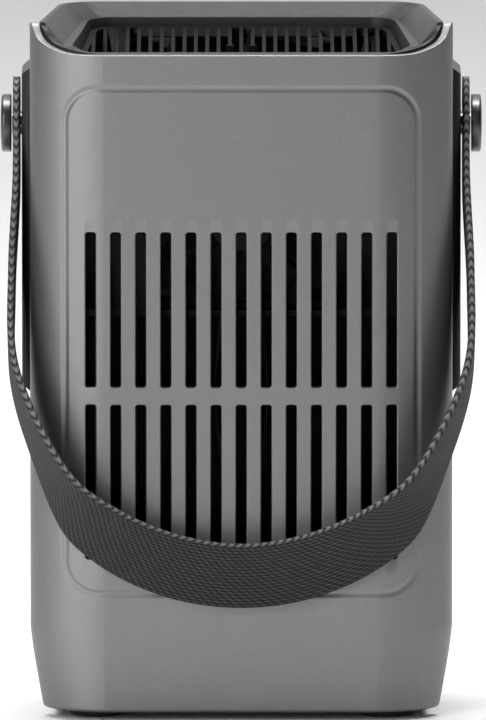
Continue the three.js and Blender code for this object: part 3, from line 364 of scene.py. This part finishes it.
# the rear shell: a vented cover that wraps the core, tucked in at the bottom and scooped at the top
rearShell = {
    "wall": 2.9, "cornerStart": 43.0, "cornerPower": 2.0, "cornerColumns": 26,
    "tuck": 4.5, "tuckHeight": 28.2, "tuckPower": 1.3, "footRadius": 1.2, "footFade": 6.0,
    "lipEdge": 0.45, "lipRows": 4, "lipSharpest": 50, "lipBelow": 0.3, "flatWithin": 0.15,
    "footHeight": 1.5, "footStep": 0.3, "tuckStep": 1.6, "wallStep": 6.0, "faceStep": 30.0, "middleStep": 5.0,
    "edgeRise": [(0.0, 0.0), (1.0, 0.02), (1.9, 0.2), (2.9, 0.62), (4.2, 1.4), (5.8, 2.42), (8.0, 3.9),
                 (9.7, 5.4), (11.2, 7.4), (12.3, 8.8), (13.3, 9.4), (14.2, 9.6), (16.0, 9.6)],
}
groove = {"sideMargin": 12.0, "lowMargin": 40.2, "highMargin": 21.0, "corner": 11.0,
          "reach": 1.75, "innerReach": 1.15, "clear": 0.6, "depth": 0.42, "step": 0.34}
shellLow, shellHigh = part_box("rear_shell")
shellLow, shellHigh = shellLow / mm, shellHigh / mm
grooveSide = shellHigh.x - groove["sideMargin"]
grooveLow = shellLow.z + groove["lowMargin"]
grooveHigh = shellHigh.z - groove["highMargin"]


# the height of a line through (place, height) points at one place
def between(points, value):
    for (x0, y0), (x1, y1) in zip(points, points[1:]):
        if value <= x1:
            share = (value - x0) / (x1 - x0)
            return y0 + (y1 - y0) * max(0.0, share)
    return points[-1][1]


# how far the soft corner lies behind the flat face at a distance from the middle
def fallAt(x):
    start = rearShell["cornerStart"]
    share = max(0.0, abs(x) - start) / (shellHigh.x - start)
    power = rearShell["cornerPower"]
    return (shellHigh.y - shellLow.y) * (1 - (1 - min(1.0, share) ** power) ** (1 / power))


def evenSteps(start, end, step):
    count = max(1, round(abs(end - start) / step))
    return [start + (end - start) * number / count for number in range(count)]


# columns stand close together where the groove runs and where the corner turns
def shellColumns():
    inner = grooveSide - groove["corner"] - groove["reach"]
    outer = grooveSide + groove["reach"] + groove["clear"]
    half = evenSteps(0.0, inner, rearShell["middleStep"]) + evenSteps(inner, outer, groove["step"])
    reach = shellHigh.x - outer
    count = rearShell["cornerColumns"]
    half += [outer + reach * math.sin(step / count * math.pi / 2) for step in range(count + 1)]
    return [-x for x in half[:0:-1]] + half


def shellRows():
    step = groove["step"]
    reach = groove["reach"]
    bend = groove["corner"] + reach
    footTop = shellLow.z + rearShell["footHeight"]
    tuckTop = shellLow.z + rearShell["tuckHeight"]
    spans = [(shellLow.z, footTop, rearShell["footStep"]),
             (footTop, tuckTop, rearShell["tuckStep"]),
             (tuckTop, grooveLow - reach, rearShell["wallStep"]),
             (grooveLow - reach, grooveLow + bend, step),
             (grooveLow + bend, grooveHigh - bend, rearShell["faceStep"]),
             (grooveHigh - bend, grooveHigh + reach, step)]
    return [z for span in spans for z in evenSteps(*span)] + [grooveHigh + reach]


def grooveAt(x, z):
    corner = groove["corner"]
    middle = (grooveLow + grooveHigh) / 2
    across = abs(x) - grooveSide + corner
    upward = abs(z - middle) - (grooveHigh - grooveLow) / 2 + corner
    outside = math.hypot(max(across, 0.0), max(upward, 0.0)) + min(max(across, upward), 0.0) - corner
    share = outside / (groove["reach"] if outside > 0 else -groove["innerReach"])
    return groove["depth"] * (1 - share ** 2) ** 2 if share < 1 else 0.0


def makeShellSkin():
    columns = shellColumns()
    rows = shellRows()
    last = len(rows) - 1
    total = last + rearShell["lipRows"]
    bm = bmesh.new()
    bmesh.ops.create_grid(bm, x_segments=len(columns) - 1, y_segments=total, size=0.5)
    start = rearShell["cornerStart"]
    reach = shellHigh.x - start
    drop = rearShell["edgeRise"][-1][1]
    for vertex in bm.verts:
        x = columns[round((vertex.co.x + 0.5) * (len(columns) - 1))]
        row = round((vertex.co.y + 0.5) * total)
        y = fallAt(x)
        top = shellHigh.z - drop + between(rearShell["edgeRise"], y)
        z = rows[min(row, last)] + (top - rows[last]) * max(0, row - last) / rearShell["lipRows"]
        height = min(1.0, (z - shellLow.z) / rearShell["tuckHeight"])
        tuck = rearShell["tuck"] * (1 - height) ** rearShell["tuckPower"]
        radius = rearShell["footRadius"]
        under = max(0.0, radius - (z - shellLow.z))
        inset = radius - math.sqrt(max(0.0, radius ** 2 - under ** 2))
        beyond = max(0.0, abs(x) - start)
        fade = min(1.0, beyond / rearShell["footFade"])
        pulled = min(abs(x), start) + beyond * (reach - tuck) / reach - inset * fade
        y += shellLow.y + grooveAt(x, z) + inset
        vertex.co = Vector((math.copysign(pulled, x), y, z)) * mm
    bmesh.ops.recalc_face_normals(bm, faces=bm.faces)
    middle = min(bm.faces, key=lambda face: abs(face.calc_center_median().x))
    if middle.normal.y > 0:
        bmesh.ops.reverse_faces(bm, faces=bm.faces)
    return meshOf(bm, "rear_shell_fine")


# a plug with rounded corners, given as rings of (depth along y, growth of outline), open at both ends
def addPlug(bm, centre, width, height, corner, rings):
    halfStep = math.pi / plugSegments
    turned = Matrix.Rotation(halfStep, 4, "Z")
    made = bmesh.ops.create_circle(bm, segments=plugSegments, radius=1.0, matrix=turned)["verts"]
    loop = list({edge for vertex in made for edge in vertex.link_edges})
    layers = [made]
    for ring in rings[1:]:
        moved = bmesh.ops.extrude_edge_only(bm, edges=loop)["geom"]
        loop = [item for item in moved if isinstance(item, bmesh.types.BMEdge)]
        layers.append([item for item in moved if isinstance(item, bmesh.types.BMVert)])
    for verts, (depth, growth) in zip(layers, rings):
        for vertex in verts:
            x, y = vertex.co.x, vertex.co.y
            vertex.co.x = centre[0] + math.copysign(width / 2 - corner, x) + (corner + growth) * x
            vertex.co.z = centre[1] + math.copysign(height / 2 - corner, y) + (corner + growth) * y
            vertex.co.y = depth
    return layers[-1]


plugSegments = 24
slots = {
    "columns": 13, "pitch": 8.36, "width": 3.35, "lowMargin": 51.5, "highMargin": 68.8, "bridge": 6.0,
    "corner": 0.8, "lip": [(-1.0, 0.9), (-0.02, 0.52), (0.07, 0.3), (0.22, 0.11), (0.5, 0.0), (6.0, 0.0)],
    "rampWidth": 4.1, "rampHeight": 5.9, "rampDepth": 0.4, "rampCorner": 1.1, "rampOverlap": 1.2,
    "rampRunOut": 0.02, "rampLip": [(-1.0, 0.5), (-0.02, 0.15), (0.0, -0.3)],
}


def slotRows():
    low = shellLow.z + slots["lowMargin"]
    high = shellHigh.z - slots["highMargin"]
    length = (high - low - slots["bridge"]) / 2
    return [(low, low + length), (high - length, high)]


def slotColumns():
    return [(column - (slots["columns"] - 1) / 2) * slots["pitch"] for column in range(slots["columns"])]


def behindFace(lip):
    return [(shellLow.y + depth, growth) for depth, growth in lip]


def makeSlotCutter():
    bm = bmesh.new()
    for low, high in slotRows():
        for x in slotColumns():
            centre = (x, (low + high) / 2)
            addPlug(bm, centre, slots["width"], high - low, slots["corner"], behindFace(slots["lip"]))
    return finishCutter(bm)


# the shallow ramps that run out above the top row and below the bottom row
def makeRampCutter():
    face = shellLow.y - slots["rampRunOut"]
    bm = bmesh.new()
    for row, (low, high) in enumerate(slotRows()):
        way = 1 if row else -1
        end = high if row else low
        middle = end + way * (slots["rampHeight"] / 2 - slots["rampOverlap"])
        for x in slotColumns():
            floor = addPlug(bm, (x, middle), slots["rampWidth"], slots["rampHeight"], slots["rampCorner"],
                            behindFace(slots["rampLip"]))
            for vertex in floor:
                share = (vertex.co.z - middle) * way / slots["rampHeight"] + 0.5
                vertex.co.y = face + slots["rampDepth"] * (1 - share)
    return finishCutter(bm)


def finishCutter(bm):
    bmesh.ops.holes_fill(bm, edges=[edge for edge in bm.edges if edge.is_boundary], sides=0)
    for vertex in bm.verts:
        vertex.co.y += fallAt(vertex.co.x)
    bmesh.ops.recalc_face_normals(bm, faces=bm.faces)
    bmesh.ops.scale(bm, vec=(mm, mm, mm), verts=bm.verts)
    return meshOf(bm, "cutter")


def applyModifiers(piece):
    graph = bpy.context.evaluated_depsgraph_get()
    graph.update()
    mesh = bpy.data.meshes.new_from_object(piece.evaluated_get(graph), depsgraph=graph)
    piece.modifiers.clear()
    piece.data = mesh


def cutAway(piece, cutterMesh):
    cutter = bpy.data.objects.new("cutter", cutterMesh)
    scene.collection.objects.link(cutter)
    modifier = piece.modifiers.new("cut", "BOOLEAN")
    modifier.operation = "DIFFERENCE"
    modifier.solver = "EXACT"
    modifier.object = cutter
    applyModifiers(piece)
    bpy.data.objects.remove(cutter)


def makeRearShell():
    piece = addPiece("rear_shell_fine", makeShellSkin(), "housing", "shell_grey", ("rear_shell",))
    wall = piece.modifiers.new("wall", "SOLIDIFY")
    wall.thickness = rearShell["wall"] * mm
    wall.offset = -1
    wall.use_even_offset = True
    applyModifiers(piece)
    bm = bmesh.new()
    bm.from_mesh(piece.data)
    flat = math.radians(rearShell["flatWithin"])
    bmesh.ops.dissolve_limit(bm, angle_limit=flat, verts=bm.verts, edges=bm.edges)
    bm.to_mesh(piece.data)
    bm.free()
    cutAway(piece, makeSlotCutter())
    cutAway(piece, makeRampCutter())
    bm = bmesh.new()
    bm.from_mesh(piece.data)
    lipZ = (shellHigh.z - rearShell["edgeRise"][-1][1] - rearShell["lipBelow"]) * mm
    lips = [edge for edge in bm.edges if edge.calc_face_angle(0.0) > math.radians(rearShell["lipSharpest"])
            and min(vertex.co.z for vertex in edge.verts) > lipZ]
    bmesh.ops.bevel(bm, geom=lips, offset=rearShell["lipEdge"] * mm, segments=3, profile=0.5,
                    affect="EDGES", material=-1, clamp_overlap=True)
    bm.to_mesh(piece.data)
    bm.free()
    for face in piece.data.polygons:
        face.use_smooth = True
    evenNormals(piece, 70)


makeRearShell()
print("rear shell made")


# the carry strap: webbing that hangs from the pivots and leans on the rear face
strap = {
    "width": 25.0, "thickness": 2.4, "end": 15.9, "start": 22.0, "lean": 24.5,
    "beside": [(1.4, 0.425, 50.4), (0.6, 0.085, 79.4)],
    "across": [(7.7, 0.27, 102.4), (18.5, 0.43, 121.4), (31.1, 0.4, 133.0), (52.2, 0.365, 142.8)],
    "middleShare": 0.355, "drop": 146.2, "middleWay": (0.0, 0.45, -0.893), "blendFrom": 0.05, "blendTo": 0.7,
    "rows": 300, "columns": {"face": 76, "edge": 6, "back": 20, "farEdge": 6},
    "ribHeight": 0.2, "ribFlatness": 0.7, "edgeBulge": 0.035, "clothShare": 0.97, "tipShare": 0.004,
    "headingReach": 1.2,
}
eyeletLow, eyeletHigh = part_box("strap_eyelet_right")
pivot = (eyeletLow + eyeletHigh) / 2


# the right half from its end down to the middle, as places beside and then across the rear face
def strapControls():
    x, y, z = pivot / mm
    rear = shellLow.y
    lean = math.radians(strap["lean"])
    alongSide = (strap["end"], 0.0, -strap["start"])
    points = [Vector((x, y + way * math.sin(lean), z + way * math.cos(lean))) for way in alongSide]
    for out, share, below in strap["beside"]:
        points.append(Vector((x + out, rear + share * (y - rear), z - below)))
    for inward, share, below in strap["across"]:
        points.append(Vector((x - inward, rear - share * strap["width"], z - below)))
    left = [Vector((-point.x, point.y, point.z)) for point in points]
    middle = Vector((0.0, rear - strap["middleShare"] * strap["width"], z - strap["drop"]))
    return left + [middle] + points[::-1]


# a smooth curve through the points, timed by the square roots of the distances between them
def smoothThrough(points, perSpan=40):
    ends = [points[0] * 2 - points[1], points[-1] * 2 - points[-2]]
    guide = [ends[0]] + points + [ends[1]]
    path = []
    for p0, p1, p2, p3 in zip(guide, guide[1:], guide[2:], guide[3:]):
        t1 = (p1 - p0).length ** 0.5
        t2 = t1 + (p2 - p1).length ** 0.5
        t3 = t2 + (p3 - p2).length ** 0.5
        for step in range(perSpan):
            t = t1 + (t2 - t1) * step / perSpan
            a1 = p0.lerp(p1, t / t1)
            a2 = p1.lerp(p2, (t - t1) / (t2 - t1))
            a3 = p2.lerp(p3, (t - t2) / (t3 - t2))
            b1 = a1.lerp(a2, t / t2)
            b2 = a2.lerp(a3, (t - t1) / (t3 - t1))
            path.append(b1.lerp(b2, (t - t1) / (t2 - t1)))
    return path + [points[-1]]


# the same curve by distance from its start
class Route:
    def __init__(self, points):
        self.points = points
        self.marks = [0.0]
        for before, after in zip(points, points[1:]):
            self.marks.append(self.marks[-1] + (after - before).length)
        self.length = self.marks[-1]

    def at(self, distance):
        distance = min(max(distance, 0.0), self.length)
        low, high = 1, len(self.marks) - 1
        while low < high:
            index = (low + high) // 2
            if self.marks[index] < distance:
                low = index + 1
            else:
                high = index
        before, after = self.marks[low - 1], self.marks[low]
        share = (distance - before) / (after - before)
        return self.points[low - 1].lerp(self.points[low], share)

    def heading(self, distance):
        reach = strap["headingReach"]
        return (self.at(distance + reach) - self.at(distance - reach)).normalized()


def smoothStep(value, low, high):
    share = min(max((value - low) / (high - low), 0.0), 1.0)
    return share * share * (3 - 2 * share)


# the section runs round the face, one edge, the back and the other edge, a stretch of columns each
def stretchOf(column):
    end = 0
    for stretch, count in strap["columns"].items():
        end += count
        if column <= end:
            return stretch
    return stretch


def shareAlong(column, stretch):
    names = list(strap["columns"])
    counts = list(strap["columns"].values())
    place = names.index(stretch)
    return (column - sum(counts[:place])) / counts[place]


# a column's place in the section: from -1 to 1 across the width, and out from the middle of the cloth
def sectionPlace(column):
    stretch = stretchOf(column)
    share = shareAlong(column, stretch)
    middle = strap["thickness"] / 2
    if stretch == "face":
        across = share * 2 - 1
        rib = abs(math.sin(math.pi * (across + 1) * strap["width"] / 2 / weave["rib"]))
        return across, middle - strap["ribHeight"] * (1 - rib ** strap["ribFlatness"])
    if stretch == "back":
        return 1 - share * 2, -middle
    side = 1 if stretch == "edge" else -1
    outward = side * math.cos(share * math.pi)
    across = side * (1 + math.sin(share * math.pi) * strap["edgeBulge"])
    return across, outward * middle - strap["ribHeight"] * max(0.0, outward)


# how far across the cloth's pattern a column lies, with the braided edges kept apart from the ribs
def clothAcross(column, stretch):
    share = shareAlong(column, stretch)
    if stretch in ("face", "back"):
        return share * strap["width"]
    return weave["edgeStart"] + share * weave["edgeWidth"]


# the cloth's rounded ends, as a share of its full width
def endShare(fromEnd):
    return math.sqrt(max(strap["tipShare"], 1 - (1 - fromEnd) ** 2)) if fromEnd < 1 else 1.0


def makeStrap():
    route = Route(smoothThrough(strapControls()))
    half = strap["width"] / 2
    lean = math.radians(strap["lean"])
    sideWay = Vector((0.0, math.cos(lean), -math.sin(lean)))
    middleWay = Vector(strap["middleWay"])
    columns = sum(strap["columns"].values())
    bm = bmesh.new()
    bmesh.ops.create_grid(bm, x_segments=columns, y_segments=strap["rows"], size=0.5)
    uv = bm.loops.layers.uv.new("strapUV")
    places = {}
    for vertex in bm.verts:
        column = round((vertex.co.x + 0.5) * columns)
        distance = (vertex.co.y + 0.5) * route.length
        places[vertex] = (column, distance)
        across, out = sectionPlace(column)
        reach = endShare(min(distance, route.length - distance) / half)
        along = abs(distance / route.length - 0.5) * 2
        way = middleWay.lerp(sideWay, smoothStep(along, strap["blendFrom"], strap["blendTo"]))
        tangent = route.heading(distance)
        way = (way - tangent * way.dot(tangent)).normalized()
        normal = tangent.cross(way).normalized()
        sideways = way * across * half * reach * strap["clothShare"]
        vertex.co = route.at(distance) + sideways + normal * out
    for face in bm.faces:
        stretch = stretchOf(sum(places[corner][0] for corner in face.verts) / len(face.verts))
        for loop in face.loops:
            column, distance = places[loop.vert]
            loop[uv].uv = (clothAcross(column, stretch) * mm, distance * mm)
    bmesh.ops.scale(bm, vec=(mm, mm, mm), verts=bm.verts)
    bmesh.ops.remove_doubles(bm, verts=bm.verts, dist=0.005 * mm)
    bmesh.ops.holes_fill(bm, edges=[edge for edge in bm.edges if edge.is_boundary], sides=0)
    bmesh.ops.recalc_face_normals(bm, faces=bm.faces)
    name = "carry_strap_webbing"
    addPiece(name, meshOf(bm, name), "strap", "webbing", ("carry_strap",))


makeStrap()
print("strap made")


# the knobs' heads: a low dome with a rounded shoulder, turned from a profile
knob = {"shoulder": 0.9, "shoulderSteps": 6, "dome": 0.35, "domeSteps": 8, "under": 0.3, "segments": 96}


# (radius, distance out) points from the middle of the underside to the middle of the dome
def knobProfile(radius, thickness):
    shoulder = knob["shoulder"]
    flat = radius - shoulder
    rim = thickness - knob["dome"]
    profile = [(0.0, 0.0), (radius - knob["under"], 0.0), (radius, knob["under"]), (radius, rim - shoulder)]
    for step in range(1, knob["shoulderSteps"] + 1):
        angle = step / knob["shoulderSteps"] * math.pi / 2
        profile.append((flat + shoulder * math.cos(angle), rim - shoulder + shoulder * math.sin(angle)))
    for step in range(1, knob["domeSteps"] + 1):
        share = step / knob["domeSteps"]
        profile.append((flat * (1 - share), rim + knob["dome"] * math.sin(share * math.pi / 2)))
    return profile


def makeKnob(side):
    low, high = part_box("strap_knob_" + side)
    middle = (low + high) / 2
    radius = (high.z - low.z) / 2 / mm
    thickness = (high.x - low.x) / mm
    way = -1 if side == "left" else 1
    inner = low.x if way > 0 else high.x
    bm = bmesh.new()
    verts = [bm.verts.new((inner + way * out * mm, middle.y, middle.z + far * mm))
             for far, out in knobProfile(radius, thickness)]
    edges = [bm.edges.new(pair) for pair in zip(verts, verts[1:])]
    bmesh.ops.spin(bm, geom=verts + edges, cent=middle, axis=(1, 0, 0), angle=math.tau,
                   steps=knob["segments"], use_merge=True)
    bmesh.ops.remove_doubles(bm, verts=bm.verts, dist=0.002 * mm)
    bmesh.ops.recalc_face_normals(bm, faces=bm.faces)
    name = "strap_knob_" + side + "_head"
    piece = addPiece(name, meshOf(bm, name), "housing", "dark_metal", ("strap_knob_" + side,))
    evenNormals(piece, 60)


makeKnob("left")
makeKnob("right")
print("knobs made")


# a plain studio: pale floor, white behind and dim in front, soft lights, and a long lens from behind
studio = {
    "floor": 0.85, "floorRough": 0.9, "floorSize": 30.0,
    "whiteBehind": 1.1, "dimElsewhere": 0.02, "fades": {"Y": (0.4, 0.85), "Z": (0.45, 0.2)},
    "lens": 1000.0, "sensor": 36.0, "elevation": 7.1, "aim": (0.57, 121.45), "frameHeight": 239.7,
    "nearest": 0.1, "farthest": 60.0,
}
lamps = {
    "keyLeft": {"place": (-0.75, -1.2, 0.6), "target": (0.0, 0.0, 0.12), "size": (0.8, 1.2), "watts": 17.5},
    "topStrip": {"place": (0.0, 0.06, 1.15), "target": (0.0, 0.04, 0.23), "size": (0.9, 0.17), "watts": 16.0},
    "backdrop": {"place": (0.0, 5.5, 3.0), "target": (0.0, 4.5, 0.0), "size": (5.0, 4.0), "watts": 50.0},
    "overhead": {"place": (0.0, 0.9, 1.9), "target": (0.0, 0.9, 0.0), "size": (3.4, 2.2), "watts": 44.0},
}


def softLight(name, lampLook):
    data = bpy.data.lights.new(name, "AREA")
    data.shape = "RECTANGLE"
    data.size, data.size_y = lampLook["size"]
    data.energy = lampLook["watts"]
    lamp = bpy.data.objects.new(name, data)
    lamp.location = lampLook["place"]
    direction = Vector(lampLook["target"]) - lamp.location
    lamp.rotation_euler = direction.to_track_quat("-Z", "Y").to_euler()
    scene.collection.objects.link(lamp)


# the room is white only low down behind the object, where its sides mirror it
def makeRoom():
    room = Paint(bpy.data.worlds.new("paleRoom"), "Background", Color=tone(1.0))
    way = room.node("ShaderNodeTexCoord", output="Generated")
    strength = studio["whiteBehind"]
    for letter, (start, end) in studio["fades"].items():
        strength = strength * room.node(
            "ShaderNodeMapRange", {"interpolation_type": "SMOOTHSTEP"},
            {"Value": room.axis(way, letter), "From Min": start, "From Max": end}, output="Result")
    room.link("Strength", strength + studio["dimElsewhere"])
    scene.world = room.owner


def makeStudio():
    bm = bmesh.new()
    bmesh.ops.create_grid(bm, x_segments=1, y_segments=1, size=studio["floorSize"] / 2)
    floor = bpy.data.objects.new("floor", meshOf(bm, "floor"))
    scene.collection.objects.link(floor)
    paint = surface("paleFloor", Base_Color=tone(studio["floor"]), Roughness=studio["floorRough"])
    floor.data.materials.append(paint.owner)
    makeRoom()
    for name, lampLook in lamps.items():
        softLight(name, lampLook)


def makeCamera():
    data = bpy.data.cameras.new("view")
    data.lens = studio["lens"]
    data.sensor_width = studio["sensor"]
    distance = studio["frameHeight"] * mm * data.lens / data.sensor_width
    data.clip_start = studio["nearest"]
    data.clip_end = studio["farthest"]
    camera = bpy.data.objects.new("view", data)
    tilt = math.radians(studio["elevation"])
    aim = Vector((studio["aim"][0] * mm, shellLow.y * mm, studio["aim"][1] * mm))
    camera.location = aim + Vector((0.0, -math.cos(tilt), math.sin(tilt))) * distance
    camera.rotation_euler = (math.pi / 2 - tilt, 0.0, 0.0)
    scene.collection.objects.link(camera)
    scene.camera = camera


makeStudio()
makeCamera()
scene.view_settings.view_transform = "Standard"
print("studio made")
